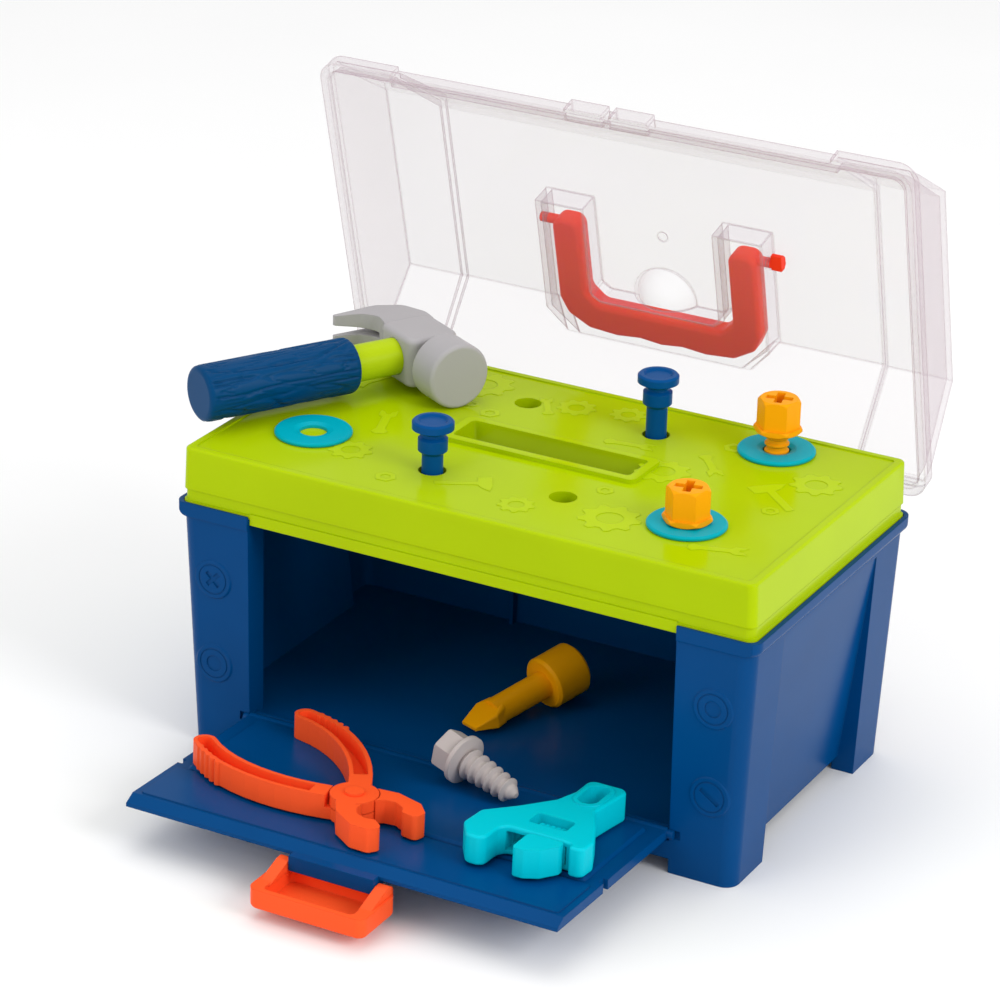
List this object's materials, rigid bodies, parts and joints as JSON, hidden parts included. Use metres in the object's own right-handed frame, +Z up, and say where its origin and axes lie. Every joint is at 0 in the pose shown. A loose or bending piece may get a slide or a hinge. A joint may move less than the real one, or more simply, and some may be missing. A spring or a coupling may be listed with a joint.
{
  "type": "toy workbench",
  "caption": "Toy tool box workbench: clear hinged lid with carry handle, tap-and-turn bench deck, drop-down front door with latch, and loose toy tools.",
  "frame": {"origin": "centre of the box's footprint on the ground, under the middle support post", "axes": "+X to the right along the front, +Y to the back, +Z up"},
  "size_m": [0.3566, 0.3865, 0.3414],
  "materials": {
    "blue": "glossy moulded plastic",
    "lime": "glossy moulded plastic",
    "clear": "clear moulded plastic",
    "orange": "glossy moulded plastic",
    "yellow": "glossy moulded plastic",
    "amber": "glossy moulded plastic",
    "turquoise": "glossy moulded plastic",
    "grey": "satin moulded plastic",
    "warm_grey": "satin moulded plastic"
  },
  "bodies": {
    "box": {"base_box": "blue"},
    "bench": {"deck": "lime"},
    "lid": {"lid": "clear"},
    "handle": {"carry_handle": "orange"},
    "door": {"door": "blue"},
    "latch": {"latch": "orange"},
    "nail_front": {"nail_front": "blue"},
    "nail_rear": {"nail_rear": "blue"},
    "bolt_front": {"bolt_front": "yellow"},
    "bolt_rear": {"bolt_rear": "yellow"},
    "washer_front": {"washer_front": "turquoise"},
    "washer_rear": {"washer_rear": "turquoise"},
    "washer_loose": {"washer_loose": "turquoise"},
    "hammer": {"hammer_head": "grey", "hammer_shank": "lime", "hammer_grip": "blue"},
    "screw": {"hex_screw": "warm_grey"},
    "bit": {"driver_bit": "amber"},
    "pliers_left": {"pliers_left": "orange"},
    "pliers_right": {"pliers_right": "orange", "pliers_pin": "orange"},
    "wrench": {"wrench_body": "turquoise"},
    "wrench_jaw": {"wrench_jaw": "turquoise"},
    "wrench_worm": {"wrench_worm": "turquoise"}
  },
  "joints": [
    {"name": "lid_hinge", "type": "hinge", "parent": "box", "child": "lid", "pos_m": [0, 0.1059, 0.139], "axis": [-1, 0, 0], "range_deg": [-37, 0]},
    {"name": "handle_pivot", "type": "hinge", "parent": "lid", "child": "handle", "pos_m": [0, 0.12144, 0.2507], "axis": [1, 0, 0], "range_deg": [0, 95]},
    {"name": "door_hinge", "type": "hinge", "parent": "box", "child": "door", "pos_m": [0, -0.092, 0.0225], "axis": [1, 0, 0], "range_deg": [-83.5, 0]},
    {"name": "latch_hinge", "type": "hinge", "parent": "door", "child": "latch", "pos_m": [0, -0.212, 0.0194], "axis": [1, 0, 0], "range_deg": [-25, 0]},
    {"name": "bench_lift", "type": "slide", "parent": "box", "child": "bench", "axis": [0, 0, 1], "range_m": [0, 0.022]},
    {"name": "nail_front_push", "type": "slide", "parent": "bench", "child": "nail_front", "axis": [0, 0, 1], "range_m": [-0.01, 0.03]},
    {"name": "nail_rear_push", "type": "slide", "parent": "bench", "child": "nail_rear", "axis": [0, 0, 1], "range_m": [-0.017, 0.03]},
    {"name": "bolt_front_lift", "type": "slide", "parent": "bench", "child": "bolt_front", "axis": [0, 0, 1], "range_m": [0, 0.035]},
    {"name": "bolt_rear_lift", "type": "slide", "parent": "bench", "child": "bolt_rear", "axis": [0, 0, 1], "range_m": [-0.009, 0.03]},
    {"name": "washer_front_spin", "type": "hinge", "parent": "bench", "child": "washer_front", "pos_m": [0.103, -0.0435, 0.1702], "axis": [0, 0, 1], "continuous": true},
    {"name": "washer_rear_lift", "type": "slide", "parent": "bench", "child": "washer_rear", "axis": [0, 0, 1], "range_m": [0, 0.007]},
    {"name": "washer_loose_lift", "type": "slide", "parent": "bench", "child": "washer_loose", "axis": [0, 0, 1], "range_m": [0, 0.04]},
    {"name": "hammer_lift", "type": "slide", "parent": "bench", "child": "hammer", "axis": [0, 0, 1], "range_m": [0, 0.06]},
    {"name": "screw_lift", "type": "slide", "parent": "door", "child": "screw", "axis": [0, 0.0349, 0.9994], "range_m": [0, 0.04]},
    {"name": "bit_lift", "type": "slide", "parent": "box", "child": "bit", "axis": [0, 0, 1], "range_m": [0, 0.06]},
    {"name": "pliers_lift", "type": "slide", "parent": "door", "child": "pliers_right", "axis": [0, 0.0349, 0.9994], "range_m": [0, 0.04]},
    {"name": "pliers_pivot", "type": "hinge", "parent": "pliers_right", "child": "pliers_left", "pos_m": [-0.014, -0.17, 0.02975], "axis": [0, -0.0349, -0.9994], "range_deg": [-8, 20]},
    {"name": "wrench_lift", "type": "slide", "parent": "door", "child": "wrench", "axis": [0, 0.0349, 0.9994], "range_m": [0, 0.04]},
    {"name": "wrench_jaw_slide", "type": "slide", "parent": "wrench", "child": "wrench_jaw", "axis": [1, 0, 0], "range_m": [-0.008, 0.0004]},
    {"name": "wrench_worm_turn", "type": "hinge", "parent": "wrench", "child": "wrench_worm", "pos_m": [0.0875, -0.15022, 0.03752], "axis": [1, 0, 0], "range_deg": [-970, 60]}
  ],
  "couplings": [
    {"joint": "wrench_worm_turn", "follows": "wrench_jaw_slide", "rad_per_m": 2094.4}
  ]
}
